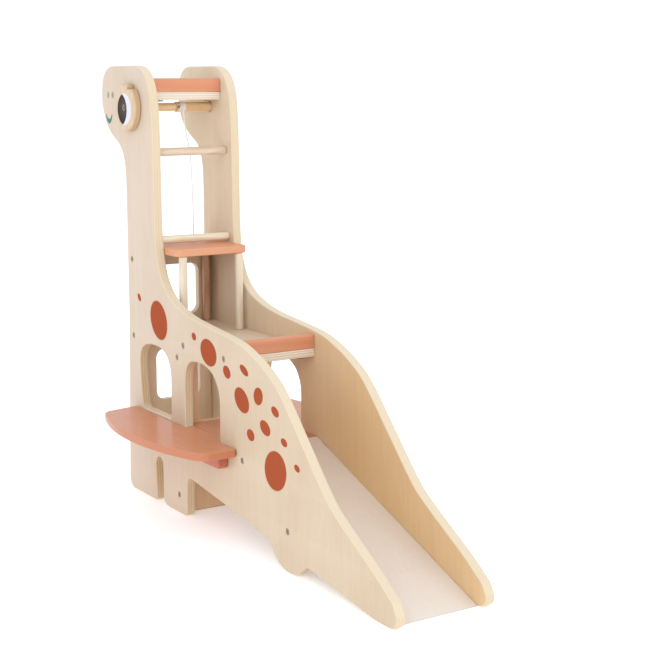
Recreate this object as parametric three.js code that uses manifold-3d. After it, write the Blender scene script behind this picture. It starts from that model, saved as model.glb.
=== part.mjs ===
// Wooden toy play tower shaped like a long-necked dinosaur: two plywood side panels carry
// a head platform, a small landing, a car deck, two balconies and a ramp for toy cars.
// The eyes are winch knobs that wind up a cord hanging inside the neck.
// Units mm, +Z up. While the pieces are laid out, X = 0 is the rear edge of the tower,
// Y = 0 the plane of symmetry and Z = 0 the floor; the finished group is then centred.
import * as THREE from 'three';
import { mergeVertices } from 'three/addons/utils/BufferGeometryUtils.js';
import Module from 'manifold-3d';

const wasm = await Module();
wasm.setup();

// ---- driving dimensions ------------------------------------------------------------
const HEIGHT = 560;              // floor to the flat top of the head
const PLY = 10;                  // plywood of the walls and floors
const PANEL = 12;                // plywood of the side panels
const GAP = 0.3;                 // clearance left between neighbouring pieces
const INNER = 101;               // clear width between the side panels
const WIDE = INNER / 2 - GAP;    // half width of every piece fitted between them
const FACE = INNER / 2 + PANEL;  // outer face of a side panel, from the middle
const EDGE = 1.6;                // eased edges of the plywood

const NECK_FRONT = 81;           // front edge of the neck
const BACK_X = [8, 18];          // back wall, rear and front face
const BACK_BOTTOM = 78;
const BACK_WINDOW = { half: 32.3, low: [120, 188.5], high: [233.3, 300.8], corner: 12 };
const MID_X = [133, 143];        // middle wall under the car deck
const MID_DOOR = { half: 35.7, top: 199 };
const DECK1 = 116;               // top of the lowest floor and of the balconies
const DECK2 = 223;               // top of the car deck
const DECK3 = 332.5;             // top of the landing at the foot of the neck
const DECK4 = 526.7;             // top of the head platform
const BOARD = 9.5;               // painted boards: lower floor, landing and balconies
const LANDING_BOTTOM = DECK3 - BOARD;
const DECK2_FRONT = 280.5;
const DECK3_FRONT = 121;
const DECK4_RANGE = [-50, 52];
const CURB = { depth: 11.5, height: 17 };

const RAMP = { top: [286, 115.3], foot: [597, 0.4], thick: 9 };
const RAMP_BATTEN = { x: 402, width: 20, bottom: 36 };

const ROD = 10.4;                // rungs and posts
const RUNGS = { rung_upper: [63, 451.5], rung_lower: [69, 340] };
const POSTS = { landing_post: 115, landing_rear_post: 25.5 };
const POST_Y = 40;

const WINCH = { x: 21.5, z: 507.2 };
const AXLE = { radius: 5.2, spigot: 3.1, spigotEnd: 7 };
const DRUM = { radius: 6.2, from: 0.5, collar: 6.6, collarEnd: 3, groove: 5.2, grooveEnd: 13.2 };
const DRUM_BORE = { radius: 3.4, end: 8 };
const KNOB = { radius: 30, thick: 9.8, ease: 4, lift: 0.5 };
const NOTCH = { x: 10, z: 23.3 };   // step cut into the rim of a knob, from its axis
const EYE_SCREW = { head: 3.6, height: 2.1, pocket: 3.9, depth: 2.5, socket: 1.5 };
const PIN = { radius: 1.3, height: 1.2 };
const CORD_D = 1.6;
const CORD_X = 29.3;             // the cord leaves the winding on the ramp side
const KNOT = { y: 20.2, z: 336, radius: 3 };

const BALCONY = { from: 16.5, to: 289.5, corner: 111.5, bulge: 157.5, peak: 150 };
const CLEAT = { from: 42, to: 268, width: 12.5, height: 18 };
const DOOR = { from: 158, to: 248, top: 203 };

// Screws that hold the boards between the panels: [x, z] on each side panel.
const SIDE_SCREWS = {
  wall_high: [13, 311], wall_low: [13, 210], deck_rear: [155, 218], deck_front: [259, 218],
  mid_high: [138, 200.5], mid_low: [138, 24], ramp_high: [301, 105], ramp_low: [402, 47],
};
const SCREW = { head: 3.4, pocket: 3.7, depth: 3.2, socket: 1.6 };
const CURB_SCREW = { y: 34, radius: 4.4, thick: 1.5 };

// ---- materials ---------------------------------------------------------------------
const paint = (color, roughness, metalness = 0) =>
  new THREE.MeshStandardMaterial({ color, roughness, metalness });
const birch = paint('#e8d3b0', 0.6);
const dowelWood = paint('#e6c9a0', 0.55);
const knobWood = paint('#dcb684', 0.5);
const salmon = paint('#d98f70', 0.45);
const rampGrey = paint('#e2d6c8', 0.5);
const steel = paint('#8f8a80', 0.35, 0.9);
const cordWhite = paint('#efece6', 0.85);

// ---- helpers -----------------------------------------------------------------------
const tower = new THREE.Group();
tower.name = 'dinosaur_tower';

function add(name, geometry, material, position = [0, 0, 0]) {
  const mesh = new THREE.Mesh(geometry, material);
  mesh.name = name;
  mesh.position.set(...position);
  tower.add(mesh);
  return mesh;
}

// Closed outline through [x, y, radius] corners, each rounded by a quarter-like curve.
function rounded(corners, path = new THREE.Shape()) {
  const n = corners.length;
  corners.forEach(([x, y, r = 0], i) => {
    const here = new THREE.Vector2(x, y);
    const before = new THREE.Vector2(...corners[(i + n - 1) % n]);
    const after = new THREE.Vector2(...corners[(i + 1) % n]);
    const a = before.sub(here).setLength(r).add(here);
    const b = after.sub(here).setLength(r).add(here);
    if (i === 0) path.moveTo(a.x, a.y);
    else path.lineTo(a.x, a.y);
    if (r > 0) {
      const k = 0.55;
      path.bezierCurveTo(a.x + (x - a.x) * k, a.y + (y - a.y) * k,
        b.x + (x - b.x) * k, b.y + (y - b.y) * k, b.x, b.y);
    }
  });
  path.closePath();
  return path;
}

const box = (x0, y0, x1, y1, r = 0) => [[x0, y0, r], [x1, y0, r], [x1, y1, r], [x0, y1, r]];

// A board of the given thickness, its eased edges lying inside the outline.
function board(shape, thick, ease = EDGE, curveSegments = 5) {
  const geometry = new THREE.ExtrudeGeometry(shape, {
    depth: thick - 2 * ease, curveSegments,
    bevelEnabled: ease > 0, bevelSize: ease, bevelThickness: ease,
    bevelOffset: -ease, bevelSegments: 1,
  });
  return geometry.translate(0, 0, ease - thick / 2);
}

// Turn a board so that its outline lies in the XZ plane or in the YZ plane.
const [AX, AY, AZ] = [[1, 0, 0], [0, 1, 0], [0, 0, 1]].map((v) => new THREE.Vector3(...v));
const upright = (g) => g.applyMatrix4(new THREE.Matrix4().makeBasis(AX, AZ, AY.clone().negate()));
const across = (g) => g.applyMatrix4(new THREE.Matrix4().makeBasis(AY, AZ, AX));

// A rod or turned piece along Y from a [radius, y] profile that starts and ends on the axis.
const turned = (profile, sides = 16) =>
  new THREE.LatheGeometry(profile.map(([r, y]) => new THREE.Vector2(r, y)), sides);
const rod = (radius, y0, y1, ease = 0.8, sides = 16) => turned(
  [[0, y0], [radius - ease, y0], [radius, y0 + ease], [radius, y1 - ease], [radius - ease, y1],
    [0, y1]], sides);

function toSolid(geometry) {
  const bare = geometry.clone();
  bare.deleteAttribute('normal');
  bare.deleteAttribute('uv');
  const merged = mergeVertices(bare, 1e-4);
  return new wasm.Manifold(new wasm.Mesh({
    numProp: 3,
    vertProperties: merged.attributes.position.array,
    triVerts: new Uint32Array(merged.index.array),
  }));
}

function toGeometry(solid) {
  const mesh = solid.getMesh();
  const geometry = new THREE.BufferGeometry();
  geometry.setAttribute('position', new THREE.BufferAttribute(mesh.vertProperties, 3));
  geometry.setIndex(new THREE.BufferAttribute(mesh.triVerts, 1));
  geometry.computeVertexNormals();
  return geometry;
}

const cut = (geometry, tools) =>
  toGeometry(tools.reduce((solid, tool) => solid.subtract(toSolid(tool)), toSolid(geometry)));

// ---- side panels -------------------------------------------------------------------
function panelOutline() {
  const v = (list) => list.map((p) => new THREE.Vector2(...p));
  const s = new THREE.Shape();
  // rear leg, the narrow slot beside it and the second leg
  s.moveTo(-9, 16);
  s.bezierCurveTo(-8.7, 5, -3, 0, 6, 0);
  s.lineTo(66, 0);
  s.quadraticCurveTo(74.3, 0, 73.5, 9);
  s.lineTo(71.5, 50.2);
  s.absarc(82, 50.2, 10.5, Math.PI, 0, true);
  s.lineTo(92.4, 16);
  s.quadraticCurveTo(92.8, 0, 107, 0);
  s.lineTo(150, 0);
  s.quadraticCurveTo(158.7, 0, 158.7, 9);
  s.lineTo(159.4, 42);
  s.quadraticCurveTo(160.5, 52.6, 172, 51.6);
  // raised belly, the rounded front foot and the underside of the tail
  s.lineTo(354, 29.4);
  s.bezierCurveTo(368, 26, 372, 0, 407, 0);
  s.bezierCurveTo(432, 0, 430, 19, 449, 16.8);
  s.lineTo(573, 0);
  s.lineTo(594, 0);
  s.bezierCurveTo(607, 0, 611.5, 7, 610, 15);
  // tail and hump, down to the neck
  s.splineThru(v([[603, 26.5], [570, 48.5], [506, 85.5], [479, 105], [434, 151], [387, 199],
    [357, 219], [322, 234], [282, 244], [190, 253.5], [151, 261], [120, 273], [100, 290],
    [89, 311], [83.5, 335], [NECK_FRONT, 365]]));
  s.lineTo(NECK_FRONT - 1, 460);
  // head
  s.bezierCurveTo(78.5, 515, 78, 560, 26, HEIGHT);
  s.lineTo(-34, HEIGHT);
  s.bezierCurveTo(-60, 560, -70, 543, -69.5, 522);
  s.bezierCurveTo(-69, 486, -46, 473, -26, 463);
  s.bezierCurveTo(-10, 455, 0, 445, 0, 400);
  s.lineTo(0, 240);
  s.closePath();
  return s;
}

// Arched window behind the balcony and the larger door that opens onto it.
const windowHole = () => {
  const h = new THREE.Path();
  h.moveTo(44, 118);
  h.lineTo(114, 118);
  h.quadraticCurveTo(119.5, 118, 119.8, 124);
  h.lineTo(120.3, 168);
  h.bezierCurveTo(120.5, 194, 105, 206, 76, 206);
  h.bezierCurveTo(46, 206, 30, 200, 31, 176);
  h.bezierCurveTo(31.4, 152, 34, 142, 36.5, 126);
  h.quadraticCurveTo(37.5, 118, 44, 118);
  return h;
};
const doorHole = () => {
  const { from, to, top } = DOOR;
  const h = new THREE.Path();
  h.moveTo(from, DECK1 - PLY);
  h.lineTo(to, DECK1 - PLY);
  h.lineTo(to, 160);
  h.bezierCurveTo(to, 189, 226, top, 196, top);
  h.bezierCurveTo(168, top, from, 196, from, 165);
  h.closePath();
  return h;
};

// side = -1 for the right panel and +1 for the left one, looking down the ramp
function sidePanel(side) {
  const shape = panelOutline();
  shape.holes.push(windowHole(), doorHole());
  const panel = upright(board(shape, PANEL, EDGE, 6))
    .translate(0, side * (FACE - PANEL / 2), 0);
  const pockets = Object.values(SIDE_SCREWS).map(([x, z]) =>
    new THREE.CylinderGeometry(SCREW.pocket, SCREW.pocket, SCREW.depth * 2, 12)
      .translate(x, side * FACE, z));
  const boreRadius = (side < 0 ? AXLE.radius : DRUM.radius) + GAP;
  const bore = new THREE.CylinderGeometry(boreRadius, boreRadius, 4 * PLY, 24)
    .translate(WINCH.x, side * FACE, WINCH.z);
  return cut(panel, [...pockets, bore]);
}
add('side_panel_right', sidePanel(-1), birch);
add('side_panel_left', sidePanel(1), birch);

// ---- walls -------------------------------------------------------------------------
const backShape = rounded(box(-WIDE, BACK_BOTTOM, WIDE, LANDING_BOTTOM - GAP));
for (const [from, to] of [BACK_WINDOW.low, BACK_WINDOW.high]) {
  const { half, corner } = BACK_WINDOW;
  backShape.holes.push(rounded(box(-half, from, half, to, corner), new THREE.Path()));
}
add('back_wall', across(board(backShape, BACK_X[1] - BACK_X[0], 1.2)), birch,
  [(BACK_X[0] + BACK_X[1]) / 2, 0, 0]);

const midShape = rounded(box(-WIDE, 0.5, WIDE, DECK2 - PLY - GAP));
midShape.holes.push(rounded([[-MID_DOOR.half, DECK1, 3], [MID_DOOR.half, DECK1, 3],
  [MID_DOOR.half, MID_DOOR.top, 12], [-MID_DOOR.half, MID_DOOR.top, 12]], new THREE.Path()));
add('middle_wall', across(board(midShape, MID_X[1] - MID_X[0], 1.2)), birch,
  [(MID_X[0] + MID_X[1]) / 2, 0, 0]);

// ---- floors ------------------------------------------------------------------------
function deck(name, x0, x1, top, thick, material, r = 0, frontRadius = r) {
  const shape = rounded([[x0, -WIDE, r], [x1, -WIDE, frontRadius], [x1, WIDE, frontRadius],
    [x0, WIDE, r]]);
  add(name, board(shape, thick, 1), material, [0, 0, top - thick / 2]);
}
deck('lower_deck', MID_X[1] + GAP, RAMP.top[0] - GAP, DECK1, BOARD, salmon);
deck('car_deck', BACK_X[1] + GAP, DECK2_FRONT, DECK2, PLY, birch);
deck('landing', BACK_X[0], DECK3_FRONT, DECK3, BOARD, salmon, 2, 8);
deck('head_platform', ...DECK4_RANGE, DECK4, PLY, birch);

// Curb strips along the front of the car deck and of the head platform.
function curb(name, front, floor) {
  const { depth, height } = CURB;
  const bottom = floor + GAP;
  const shape = rounded([[front - depth, bottom], [front, bottom],
    [front, bottom + height, 3], [front - depth, bottom + height, 3]]);
  add(name, upright(board(shape, 2 * WIDE, 0.8, 3)), salmon);
}
curb('car_deck_curb', DECK2_FRONT, DECK2);
curb('head_platform_curb', DECK4_RANGE[1] + 0.8, DECK4);

// ---- balconies ---------------------------------------------------------------------
for (const [word, side] of [['right', -1], ['left', 1]]) {
  const { from, to, corner, bulge, peak } = BALCONY;
  const inner = FACE + GAP;
  const shape = new THREE.Shape();
  shape.moveTo(from, side * inner);
  shape.lineTo(from + 8, side * (corner - 8));
  shape.quadraticCurveTo(from + 10, side * corner, from + 17.5, side * (corner + 4));
  shape.quadraticCurveTo(peak, side * bulge, to - 14, side * (corner + 3));
  shape.quadraticCurveTo(to - 3, side * (corner - 4), to - 2, side * (corner - 14));
  shape.lineTo(to, side * (inner + 4));
  shape.quadraticCurveTo(to, side * inner, to - 4, side * inner);
  // tongue that fills the foot of the door
  shape.lineTo(DOOR.to - GAP, side * inner);
  shape.lineTo(DOOR.to - GAP, side * (INNER / 2));
  shape.lineTo(DOOR.from + GAP, side * (INNER / 2));
  shape.lineTo(DOOR.from + GAP, side * inner);
  shape.closePath();
  add('balcony_' + word, board(shape, BOARD, 1.4, 10), salmon, [0, 0, DECK1 - BOARD / 2]);

  const top = DECK1 - BOARD - GAP;
  const cleat = rounded([[CLEAT.from, top - CLEAT.height, 5], [CLEAT.to, top - CLEAT.height, 5],
    [CLEAT.to, top], [CLEAT.from, top]]);
  add('balcony_cleat_' + word, upright(board(cleat, CLEAT.width, 1.2)), salmon,
    [0, side * (inner + CLEAT.width / 2), 0]);
}

// ---- ramp --------------------------------------------------------------------------
{
  const [tx, tz] = RAMP.top;
  const [fx, fz] = RAMP.foot;
  const slope = (tz - fz) / (fx - tx);
  const drop = RAMP.thick * Math.hypot(1, slope);   // thickness measured vertically
  const ramp = new THREE.Shape();
  ramp.moveTo(tx, tz);
  ramp.lineTo(tx, tz - drop);
  ramp.lineTo(fx - (drop - fz) / slope, 0);
  ramp.lineTo(fx, 0);
  ramp.lineTo(fx, fz);
  ramp.closePath();
  add('ramp_board', upright(board(ramp, 2 * WIDE, 0)), rampGrey);

  const { x, width, bottom } = RAMP_BATTEN;
  const under = (at) => tz - (at - tx) * slope - drop - GAP;
  const batten = new THREE.Shape();
  batten.moveTo(x - width / 2, bottom);
  batten.lineTo(x + width / 2, bottom);
  batten.lineTo(x + width / 2, under(x + width / 2));
  batten.lineTo(x - width / 2, under(x - width / 2));
  batten.closePath();
  add('ramp_batten', upright(board(batten, 2 * WIDE, 0)), birch);
}

// ---- rungs and posts ---------------------------------------------------------------
for (const [name, [x, z]] of Object.entries(RUNGS))
  add(name, rod(ROD / 2, -WIDE, WIDE), dowelWood, [x, 0, z]);

for (const [name, x] of Object.entries(POSTS))
  for (const [word, side] of [['right', -1], ['left', 1]]) {
    const post = rod(ROD / 2, DECK2 + GAP, LANDING_BOTTOM - GAP).rotateX(Math.PI / 2);
    add(name + '_' + word, post, dowelWood, [x, side * POST_Y, 0]);
  }

// ---- winch: eye knobs, axle, drum and cord -----------------------------------------
{
  const { x, z } = WINCH;
  const d = DRUM;
  const drumEnd = FACE - GAP;
  const rim = 0.8;

  // The axle ends in a spigot that sits in the drum's bore.
  add('winch_axle', turned([
    [0, GAP - FACE], [AXLE.radius - rim, GAP - FACE], [AXLE.radius, GAP - FACE + rim],
    [AXLE.radius, d.from - GAP], [AXLE.spigot, d.from - GAP], [AXLE.spigot, AXLE.spigotEnd],
    [0, AXLE.spigotEnd],
  ]), dowelWood, [x, 0, z]);

  // The drum has a collar, then a groove where the cord is wound.
  add('winch_drum', turned([
    [0, DRUM_BORE.end], [DRUM_BORE.radius, DRUM_BORE.end], [DRUM_BORE.radius, d.from],
    [d.collar, d.from], [d.collar, d.collarEnd], [d.groove, d.collarEnd],
    [d.groove, d.grooveEnd], [d.radius, d.grooveEnd], [d.radius, drumEnd - rim],
    [d.radius - rim, drumEnd], [0, drumEnd],
  ], 20), knobWood, [x, 0, z]);

  // Turns of cord lying side by side in the groove.
  const turns = 6;
  const inner = d.groove + GAP;
  const valley = inner + CORD_D * 0.35;
  const crest = inner + CORD_D * 0.75;
  const start = d.collarEnd + GAP;
  const ribs = [];
  for (let i = 0; i < turns; i += 1) {
    const y = start + i * CORD_D;
    ribs.push([valley, y], [crest, y + CORD_D / 2]);
  }
  const end = start + turns * CORD_D;
  add('cord_winding', turned([[inner, start], ...ribs, [valley, end], [inner, end],
    [inner, start]], 20), cordWhite, [x, 0, z]);

  for (const [word, side] of [['right', -1], ['left', 1]]) {
    const { radius, thick, ease, lift } = KNOB;
    const profile = [[0, 0], [radius - 1, 0], [radius, 1]];
    for (let i = 0; i <= 3; i += 1) {
      const a = (i / 3) * (Math.PI / 2);
      profile.push([radius - ease * (1 - Math.cos(a)), thick - ease * (1 - Math.sin(a))]);
    }
    const disc = turned([...profile, [0, thick]], 40);
    const notch = new THREE.BoxGeometry(radius, 4 * thick, radius)
      .translate(side * (NOTCH.x + radius / 2), 0, NOTCH.z + radius / 2);
    const screwPocket = new THREE.CylinderGeometry(EYE_SCREW.pocket, EYE_SCREW.pocket,
      2 * EYE_SCREW.depth, 16).translate(0, thick, 0);
    const knob = cut(disc, [notch, screwPocket]);
    const { head, height, depth, socket } = EYE_SCREW;
    const top = GAP - depth + height;
    const screw = turned([[0, top - height], [head, top - height], [head, top - 0.5],
      [head - 0.7, top], [socket, top], [socket, top - 1], [0, top - 1]], 12)
      .translate(0, thick, 0);
    if (side < 0) {
      knob.rotateZ(Math.PI);
      screw.rotateZ(Math.PI);
    }
    add('eye_knob_' + word, knob, knobWood, [x, side * (FACE + lift), z]);
    add('eye_screw_' + word, screw, steel, [x, side * (FACE + lift), z]);
  }

  add('drum_pin', turned([[0, 0], [PIN.radius, 0], [PIN.radius, PIN.height], [0, PIN.height]],
    10).rotateZ(-Math.PI / 2), steel, [x + d.collar + GAP, (d.from + d.collarEnd) / 2, z]);

  const hanging = new THREE.CatmullRomCurve3([
    [CORD_X, 7.2, z - 1], [CORD_X, 10.7, z - 30], [CORD_X, 15.4, z - 52], [CORD_X, 17.7, z - 73],
    [CORD_X, 19.6, z - 121], [CORD_X, KNOT.y, KNOT.z + KNOT.radius + GAP],
  ].map((p) => new THREE.Vector3(...p)));
  const section = new THREE.Shape().absarc(0, 0, CORD_D / 2, 0, Math.PI * 2);
  add('lift_cord', new THREE.ExtrudeGeometry(section,
    { extrudePath: hanging, steps: 42, curveSegments: 8, bevelEnabled: false }), cordWhite);
  add('cord_knot', new THREE.SphereGeometry(KNOT.radius, 12, 8).rotateX(Math.PI / 2), cordWhite,
    [CORD_X, KNOT.y, KNOT.z]);
}

// ---- screws ------------------------------------------------------------------------
for (const [word, side] of [['right', -1], ['left', 1]]) {
  for (const [place, [x, z]] of Object.entries(SIDE_SCREWS)) {
    const { head, depth, socket } = SCREW;
    const screw = turned([[0, 0], [head - 1, 0], [head, 1], [head, depth - GAP - 0.1],
      [socket, depth - GAP - 0.1], [socket, depth - 1.8], [0, depth - 1.8]], 12);
    if (side < 0) screw.rotateZ(Math.PI);
    add('screw_' + place + '_' + word, screw, steel, [x, side * (FACE - depth + GAP), z]);
  }
}
for (const [name, x, floor] of [['car_curb_screw', DECK2_FRONT - 6, DECK2],
  ['head_curb_screw', DECK4_RANGE[1] - 5, DECK4]])
  for (const [word, side] of [['right', -1], ['left', 1]])
    add(name + '_' + word, new THREE.CylinderGeometry(CURB_SCREW.radius, CURB_SCREW.radius - 1,
      CURB_SCREW.thick, 14).rotateX(Math.PI / 2), steel,
    [x, side * CURB_SCREW.y, floor - PLY - GAP - CURB_SCREW.thick / 2]);

// Centre the tower over its own origin, standing on the floor.
const bounds = new THREE.Box3().setFromObject(tower);
const centre = bounds.getCenter(new THREE.Vector3());
tower.children.forEach((mesh) => mesh.position.sub(new THREE.Vector3(centre.x, centre.y, 0)));

export default tower;
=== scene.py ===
"""Looks of a wooden dinosaur play tower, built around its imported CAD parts.

Places come from the CAD nodes. Outlines are in millimetres from the tower's rear edge and
the floor, as on a workshop drawing, and every mesh is in metres.
"""

import math

import bmesh
import bpy
import numpy as np
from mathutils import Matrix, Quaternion, Vector
from mathutils.geometry import tessellate_polygon


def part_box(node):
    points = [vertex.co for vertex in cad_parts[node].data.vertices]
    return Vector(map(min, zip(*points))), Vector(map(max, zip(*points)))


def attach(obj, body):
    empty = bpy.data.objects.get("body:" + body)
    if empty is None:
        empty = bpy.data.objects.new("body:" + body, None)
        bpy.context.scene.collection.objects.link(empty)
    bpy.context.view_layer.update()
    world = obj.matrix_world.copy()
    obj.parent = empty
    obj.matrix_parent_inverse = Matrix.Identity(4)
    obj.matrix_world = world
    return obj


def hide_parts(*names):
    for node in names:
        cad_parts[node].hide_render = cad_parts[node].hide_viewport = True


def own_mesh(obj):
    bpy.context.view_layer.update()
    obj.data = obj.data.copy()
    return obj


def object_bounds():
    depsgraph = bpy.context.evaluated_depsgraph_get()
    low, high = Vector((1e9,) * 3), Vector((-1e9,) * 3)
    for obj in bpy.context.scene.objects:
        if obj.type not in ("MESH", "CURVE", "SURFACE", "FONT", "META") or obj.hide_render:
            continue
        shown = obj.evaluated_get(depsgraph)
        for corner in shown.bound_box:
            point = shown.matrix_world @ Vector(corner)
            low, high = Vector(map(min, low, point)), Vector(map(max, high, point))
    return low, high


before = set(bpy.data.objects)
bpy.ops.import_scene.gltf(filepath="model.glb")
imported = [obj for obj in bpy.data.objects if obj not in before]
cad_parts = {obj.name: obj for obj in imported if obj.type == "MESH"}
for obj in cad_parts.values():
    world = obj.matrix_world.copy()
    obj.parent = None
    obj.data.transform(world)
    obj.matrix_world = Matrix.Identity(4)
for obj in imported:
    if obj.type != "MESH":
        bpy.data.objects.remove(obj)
cad_low, cad_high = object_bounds()

MM = 0.001
AXES = "XYZ"
REAR_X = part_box("back_wall")[0].x - 8 * MM      # rear edge of the tower
GAP = 0.3                                       # mm between boards that meet
TOWER, WINCH, CORD_END = "tower", "winch", "cord_end"


# ---- camera ------------------------------------------------------------------------
CAMERA_PLACE = (REAR_X + 1.69167, -0.84013, 0.53624)
CAMERA_ANGLES = (57.545, 9.082, -0.128)         # azimuth, pitch and roll, in degrees
SENSOR, LENS = 36, 78.26                        # mm
CAMERA_SHIFT = (0.00875, -0.0231)               # shares of the picture's width


def make_camera():
    """Eye-level view from the right front, looking slightly down on the tower."""
    azimuth, pitch, roll = (math.radians(a) for a in CAMERA_ANGLES)
    back = Vector((math.sin(azimuth) * math.cos(pitch),
                   -math.cos(azimuth) * math.cos(pitch), math.sin(pitch)))
    data = bpy.data.cameras.new("camera")
    data.lens = LENS
    data.sensor_width = SENSOR
    data.shift_x, data.shift_y = CAMERA_SHIFT
    camera = bpy.data.objects.new("camera", data)
    camera.location = CAMERA_PLACE
    camera.rotation_mode = "QUATERNION"
    camera.rotation_quaternion = Quaternion(back, roll) @ (-back).to_track_quat("-Z", "Y")
    bpy.context.scene.collection.objects.link(camera)
    bpy.context.scene.camera = camera


# ---- outlines ----------------------------------------------------------------------
SAME_POINT = 1e-3       # mm within which two points count as one
QUARTER_ARC = 0.55      # handle length of a Bezier curve that is close to a quarter circle


class Outline:
    """A closed outline in millimetres, drawn with lines, curves and arcs."""

    def __init__(self, x, y):
        self.points = [np.array((x, y), float)]

    def line(self, *corners):
        self.points += [np.array(c, float) for c in corners]
        return self

    def curve(self, *controls, steps=16):
        """Quadratic or cubic Bezier curve from the last point."""
        hull = [self.points[-1]] + [np.array(c, float) for c in controls]
        for t in np.linspace(0, 1, steps + 1)[1:]:
            row = hull
            while len(row) > 1:
                row = [a + (b - a) * t for a, b in zip(row, row[1:])]
            self.points.append(row[0])
        return self

    def arc(self, x, y, radius, start, end, steps=20):
        """Arc about (x, y); angles in degrees."""
        for a in np.radians(np.linspace(start, end, steps + 1)):
            self.points.append(np.array((x + radius * math.cos(a), y + radius * math.sin(a))))
        return self

    def spline(self, *points, steps=9):
        """Smooth curve through the points, starting at the last point."""
        knots = [np.array(p, float) for p in points]
        self.points.append(knots[0])
        self.points += smooth_line(knots, steps)[1:]
        return self

    def loop(self, clockwise=False):
        """The outline as an array of points, without repeats, turning the way asked for."""
        kept = [p for p, q in zip(self.points, self.points[-1:] + self.points[:-1])
                if np.linalg.norm(p - q) > SAME_POINT]
        ring = np.array(kept)
        return ring if (signed_area(ring) < 0) == clockwise else ring[::-1]


def signed_area(ring):
    x, y = ring[:, 0], ring[:, 1]
    return 0.5 * float(np.dot(x, np.roll(y, -1)) - np.dot(y, np.roll(x, -1)))


def smooth_line(knots, steps):
    """Catmull-Rom curve through the knots, in any number of dimensions."""
    padded = [knots[0], *knots, knots[-1]]
    made = [knots[0]]
    for a, b, c, d in zip(padded, padded[1:], padded[2:], padded[3:]):
        for t in np.linspace(0, 1, steps + 1)[1:]:
            u, v = (c - a) / 2, (d - b) / 2
            made.append((2 * b - 2 * c + u + v) * t ** 3
                        + (3 * c - 3 * b - 2 * u - v) * t ** 2 + u * t + b)
    return made


def rounded(corners, steps=7):
    """Outline through (x, y, radius) corners, each rounded by an arc-like curve."""
    made = None
    for (x, y, r), before, after in zip(corners, corners[-1:] + corners[:-1],
                                        corners[1:] + corners[:1]):
        here = np.array((x, y), float)
        into, out = np.array(before[:2]) - here, np.array(after[:2]) - here
        a = here + into / np.linalg.norm(into) * r
        b = here + out / np.linalg.norm(out) * r
        made = made.line(a) if made else Outline(*a)
        made.curve(a + (here - a) * QUARTER_ARC, b + (here - b) * QUARTER_ARC, b, steps=steps)
    return made


def box_outline(x0, y0, x1, y1, radius):
    return rounded([(x0, y0, radius), (x1, y0, radius), (x1, y1, radius), (x0, y1, radius)])


def circle(x, y, radius, steps=32):
    return Outline(x + radius, y).arc(x, y, radius, 0, 360, steps)


# ---- mesh makers -------------------------------------------------------------------
WELD = 1e-6                 # metres within which corners are joined
FLAT_FACE_WEIGHT = 80       # keeps large flat faces flat next to rounded edges
SHARPEST_CORNER = 0.35      # limits how far an inset moves a sharp corner
POCKET_RIM = (0.35, 0.3)    # width and depth of the bevel round a pocket, mm
STRANDS, STRAND_GROOVE = 3, 0.12
STRING_SIDES = 12


def add_piece(name, verts, faces, material, body):
    """A closed, smooth-shaded mesh that rides on a body and stands for the CAD node of its name."""
    mesh = bpy.data.meshes.new(name)
    mesh.from_pydata([tuple(v) for v in verts], [], [tuple(f) for f in faces])
    shell = bmesh.new()
    shell.from_mesh(mesh)
    bmesh.ops.remove_doubles(shell, verts=shell.verts, dist=WELD)
    bmesh.ops.recalc_face_normals(shell, faces=shell.faces)
    shell.to_mesh(mesh)
    shell.free()
    mesh.shade_smooth()
    mesh.materials.append(material)
    piece = bpy.data.objects.new(name, mesh)
    bpy.context.scene.collection.objects.link(piece)
    normals = piece.modifiers.new("flat faces stay flat", "WEIGHTED_NORMAL")
    normals.weight = FLAT_FACE_WEIGHT
    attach(piece, body)
    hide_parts(name)
    return piece


def inset(ring, distance):
    """The ring moved into the material, which lies on its left."""
    along = np.roll(ring, -1, 0) - ring
    along /= np.linalg.norm(along, axis=1)[:, None]
    left = np.stack([-along[:, 1], along[:, 0]], 1)
    before = np.roll(left, 1, 0)
    corner = left + before
    corner /= np.maximum((corner * left).sum(1), SHARPEST_CORNER)[:, None]
    return ring + corner * distance


def board(name, outer, span, axis, material, ease=1.6, holes=(), pockets=(), steps=4):
    """A board of the tower, cut to an outline, with rounded edges.

    span is its two faces along the axis, in mm. pockets are (outline, depth, side), sunk
    into the face at the span's low (-1) or high (+1) end."""
    low, high = span
    rings = [outer.loop()] + [h.loop(clockwise=True) for h in holes]
    turn = np.linspace(0, math.pi / 2, steps + 1)
    edge = [(ease * (1 - math.sin(a)), ease * (1 - math.cos(a))) for a in turn]
    stations = [(i, high - d) for i, d in edge] + [(i, low + d) for i, d in reversed(edge)]
    verts, faces, caps = [], [], {1: [], -1: []}

    def put(ring, height):
        start = len(verts)
        verts.extend((*p, height) for p in ring)
        return list(range(start, len(verts)))

    def wall(a, b):
        n = len(a)
        faces.extend((a[i], a[(i + 1) % n], b[(i + 1) % n], b[i]) for i in range(n))

    for ring in rings:
        made = [put(inset(ring, i), h) for i, h in stations]
        for a, b in zip(made, made[1:]):
            wall(a, b)
        caps[1].append(made[0])
        caps[-1].append(made[-1])
    for outline, depth, side in pockets:
        ring, face = outline.loop(clockwise=True), (high if side > 0 else low)
        mouth = put(inset(ring, POCKET_RIM[0]), face)
        lip = put(ring, face - side * POCKET_RIM[1])
        floor = put(ring, face - side * depth)
        wall(mouth, lip)
        wall(lip, floor)
        faces.append(floor)
        caps[side].append(mouth)
    for loops in caps.values():
        flat = [i for ring in loops for i in ring]
        shape = [[Vector((verts[i][0], verts[i][1], 0)) for i in ring] for ring in loops]
        faces.extend([flat[i] for i in f] for f in tessellate_polygon(shape))
    return add_piece(name, [to_row(v, axis) for v in verts], faces, material, TOWER)


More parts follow.
